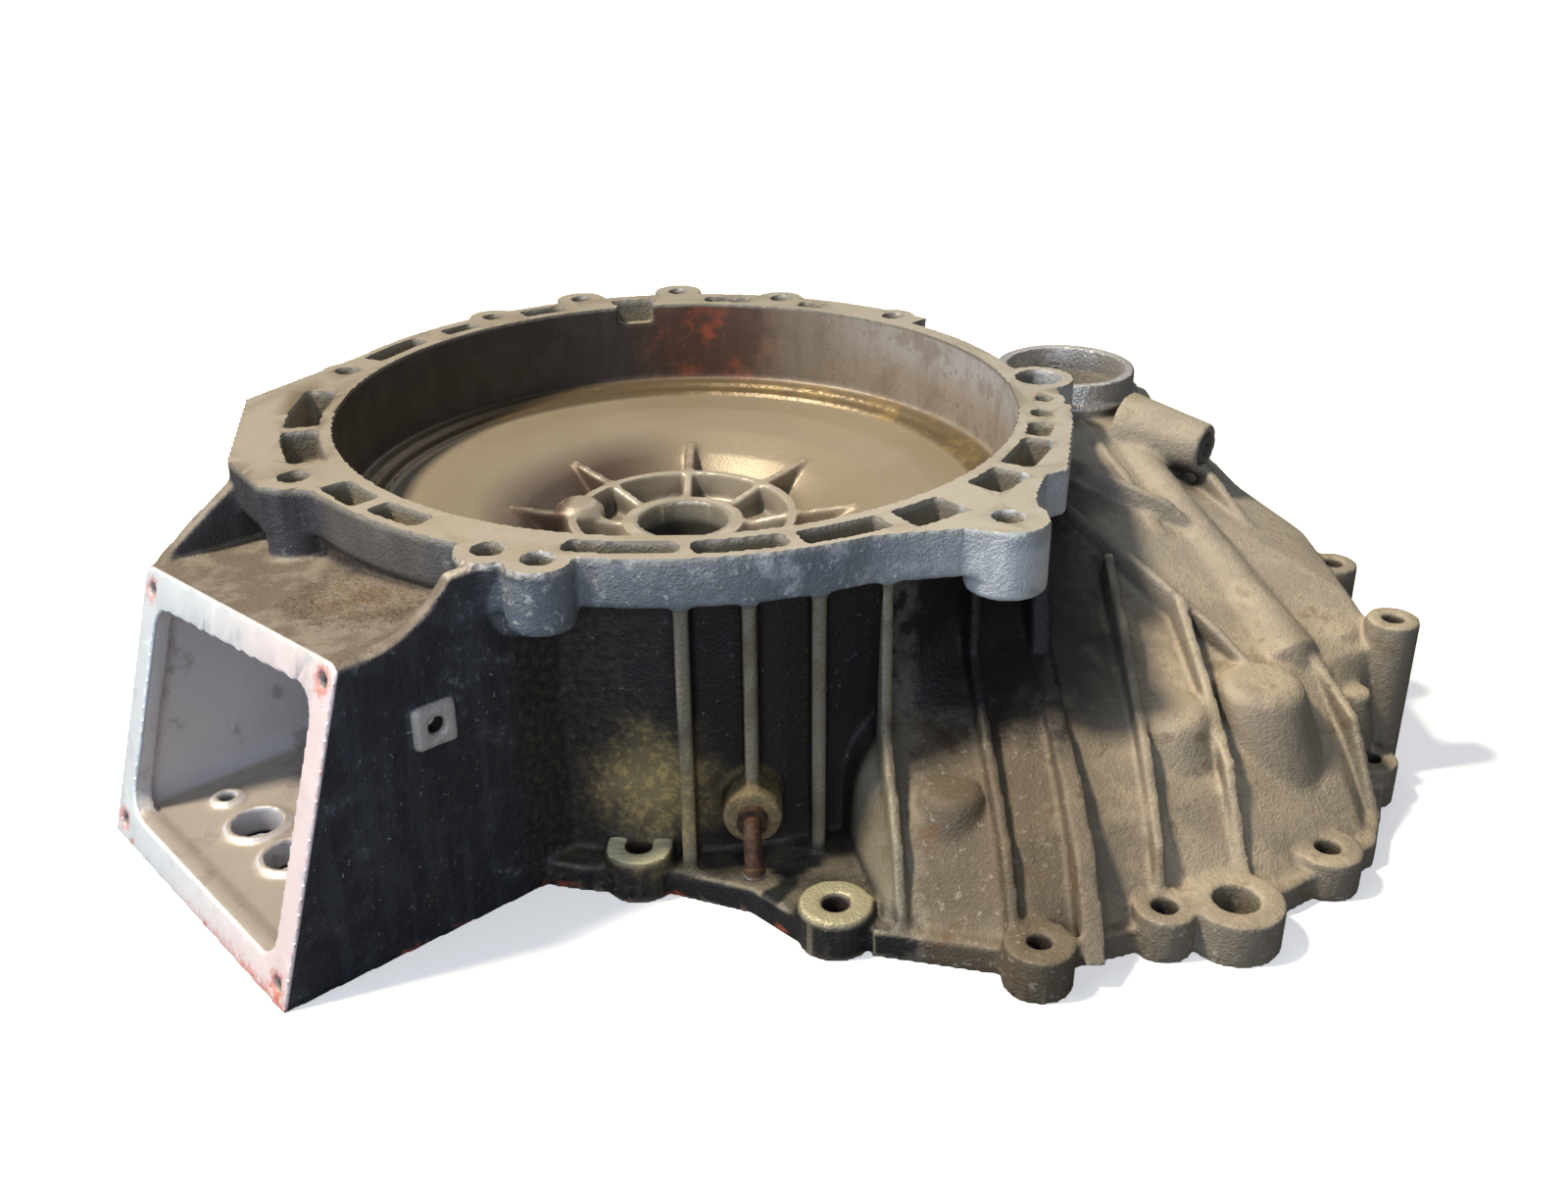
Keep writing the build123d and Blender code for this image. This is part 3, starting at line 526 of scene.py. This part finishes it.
# Breather tube: drawn steel, bent and pressed into its boss. It has rusted to a red brown,
# and only its beaded tip has been rubbed bright.
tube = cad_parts["breather_tube"]
rust_width = 3.0
rust_stray = 3.0
tip_start = -132.0
tip_full = -134.0
rusted = bpy.data.materials.new("rusted_drawn_steel")
rusted.use_nodes = True
tree = rusted.node_tree
where = add(tree, "TexCoord", {})
in_millimetres = {0: where.outputs["Object"], "Scale": per_metre}
place = add(tree, "VectorMath", in_millimetres, operation="SCALE").outputs[0]
height = add(tree, "SeparateXYZ", {0: place}).outputs[2]
patch = add(tree, "TexNoise", {"Vector": place, "Scale": 1.0 / rust_width, "Detail": 4.0}).outputs[0]
rust_share = add(tree, "MapRange", {0: patch, 1: 0.35, 2: 0.65}).outputs[0]
browns = {0: rust_share, 6: linear("2c221b"), 7: linear("523826")}
rust = add(tree, "Mix", browns, data_type="RGBA").outputs[2]
strayed = {0: patch, 1: rust_stray, 2: height}
ragged_height = add(tree, "Math", strayed, operation="MULTIPLY_ADD").outputs[0]
at_tip = add(tree, "MapRange", {0: ragged_height, 1: tip_start, 2: tip_full}).outputs[0]
tint = add(tree, "Mix", {0: at_tip, 6: rust, 7: linear("b9b4a8")}, data_type="RGBA").outputs[2]
gloss = tree.nodes["Principled BSDF"]
rub = add(tree, "MapRange", {0: at_tip, 3: 0.70, 4: 0.30}).outputs[0]
metal = add(tree, "MapRange", {0: at_tip, 3: 0.25, 4: 0.95}).outputs[0]
tree.links.new(tint, gloss.inputs["Base Color"])
tree.links.new(rub, gloss.inputs["Roughness"])
tree.links.new(metal, gloss.inputs["Metallic"])
tube.data.materials.clear()
tube.data.materials.append(rusted)

# Level plug: a turned steel screw plug with a hexagon socket. It is dull, with dust
# caught in patches on its face.
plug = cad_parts["level_plug"]
dust_width = 4.0
dull = bpy.data.materials.new("dull_turned_steel")
dull.use_nodes = True
tree = dull.node_tree
where = add(tree, "TexCoord", {})
in_millimetres = {0: where.outputs["Object"], "Scale": per_metre}
place = add(tree, "VectorMath", in_millimetres, operation="SCALE").outputs[0]
patch = add(tree, "TexNoise", {"Vector": place, "Scale": 1.0 / dust_width, "Detail": 4.0}).outputs[0]
dust = add(tree, "MapRange", {0: patch, 1: 0.4, 2: 0.65}).outputs[0]
greys = {0: dust, 6: linear("6d6c70"), 7: linear("86817a")}
tint = add(tree, "Mix", greys, data_type="RGBA").outputs[2]
gloss = tree.nodes["Principled BSDF"]
tree.links.new(tint, gloss.inputs["Base Color"])
gloss.inputs["Roughness"].default_value = 0.45
gloss.inputs["Metallic"].default_value = 0.7
plug.data.materials.clear()
plug.data.materials.append(dull)

# Floor: a plain pale sheet that the casing stands on. It looks white to the camera and keeps
# the shadow, but throws little light back up at the casing.
floor_size = 12.0
bpy.ops.object.select_all(action="DESELECT")
bpy.ops.mesh.primitive_plane_add(size=floor_size, location=(0.0, 0.0, -case_depth))
floor = bpy.context.object
floor.name = "floor"
paper = bpy.data.materials.new("white_paper")
paper.use_nodes = True
tree = paper.node_tree
dim = tree.nodes["Principled BSDF"]
dim.inputs["Base Color"].default_value = linear("4a4a4a")
dim.inputs["Roughness"].default_value = 0.9
pale = add(tree, "BsdfDiffuse", {"Color": linear("f2f2f2")})
middle = add(tree, "NewGeometry", {}).outputs["Position"]
away = add(tree, "VectorMath", {0: middle}, operation="LENGTH").outputs[1]
far = add(tree, "MapRange", {0: away, 1: 0.6, 2: 2.5, 3: 0.45, 4: 1.0}).outputs[0]
glow = add(tree, "Emission", {"Color": linear("ffffff"), "Strength": far})
bright = add(tree, "AddShader", {0: pale.outputs[0], 1: glow.outputs[0]})
seen = add(tree, "LightPath", {}).outputs["Is Camera Ray"]
sheet = add(tree, "MixShader", {0: seen, 1: dim.outputs[0], 2: bright.outputs[0]})
tree.links.new(sheet.outputs[0], tree.nodes["Material Output"].inputs["Surface"])
floor.data.materials.append(paper)

# Studio: a faint even light from all round, with a white backdrop for the camera alone.
world = bpy.data.worlds.new("studio")
bpy.context.scene.world = world
world.use_nodes = True
tree = world.node_tree
sky = tree.nodes["Background"]
sky.inputs["Color"].default_value = linear("dfe6ee")
sky.inputs["Strength"].default_value = 0.11
backdrop = add(tree, "Background", {"Color": linear("ffffff"), "Strength": 1.0})
path = add(tree, "LightPath", {})
seen = path.outputs["Is Camera Ray"]
behind = add(tree, "MixShader", {0: seen, 1: sky.outputs[0], 2: backdrop.outputs[0]})
tree.links.new(behind.outputs[0], tree.nodes["World Output"].inputs["Surface"])

# Lamps: place, aim, width, power and tint of each. The key stands high at the left, and the
# cool light of a window falls low from the front left.
lamps = {
    "key": ((-1.30, -0.35, 2.15), (0.03, -0.02, -0.05), 0.30, 104.0, "fff0da"),
    "window": ((-1.25, -0.95, 0.35), (-0.10, -0.05, -0.08), 0.80, 8.0, "d3e4ff"),
    "front": ((0.10, -1.50, 0.45), (0.0, 0.0, -0.08), 0.90, 8.0, "e0ebff"),
    "back": ((0.5, 1.1, 1.0), (0.1, 0.0, -0.06), 1.0, 4.0, "ffffff"),
}
for name, (stand, aim, width, power, tint) in lamps.items():
    lamp = bpy.data.lights.new(name, "AREA")
    lamp.size = width
    lamp.energy = power
    lamp.color = linear(tint)[:3]
    holder = bpy.data.objects.new(name, lamp)
    bpy.context.scene.collection.objects.link(holder)
    holder.location = stand
    holder.rotation_euler = (Vector(stand) - Vector(aim)).to_track_quat("Z", "Y").to_euler()

# Camera: where the photograph was taken from, with its focal length.
camera_place = (0.0509, -0.7332, 0.2546)
camera_pitch = math.radians(26.19)
camera_roll = math.radians(-0.4487)
camera = bpy.data.cameras.new("camera")
camera.sensor_width = 36.0
camera.lens = 36.0
viewer = bpy.data.objects.new("camera", camera)
bpy.context.scene.collection.objects.link(viewer)
turn = Matrix.Rotation(math.pi / 2 - camera_pitch, 4, "X") @ Matrix.Rotation(camera_roll, 4, "Z")
viewer.matrix_world = Matrix.Translation(camera_place) @ turn
bpy.context.scene.camera = viewer
bpy.context.scene.view_settings.view_transform = "Standard"
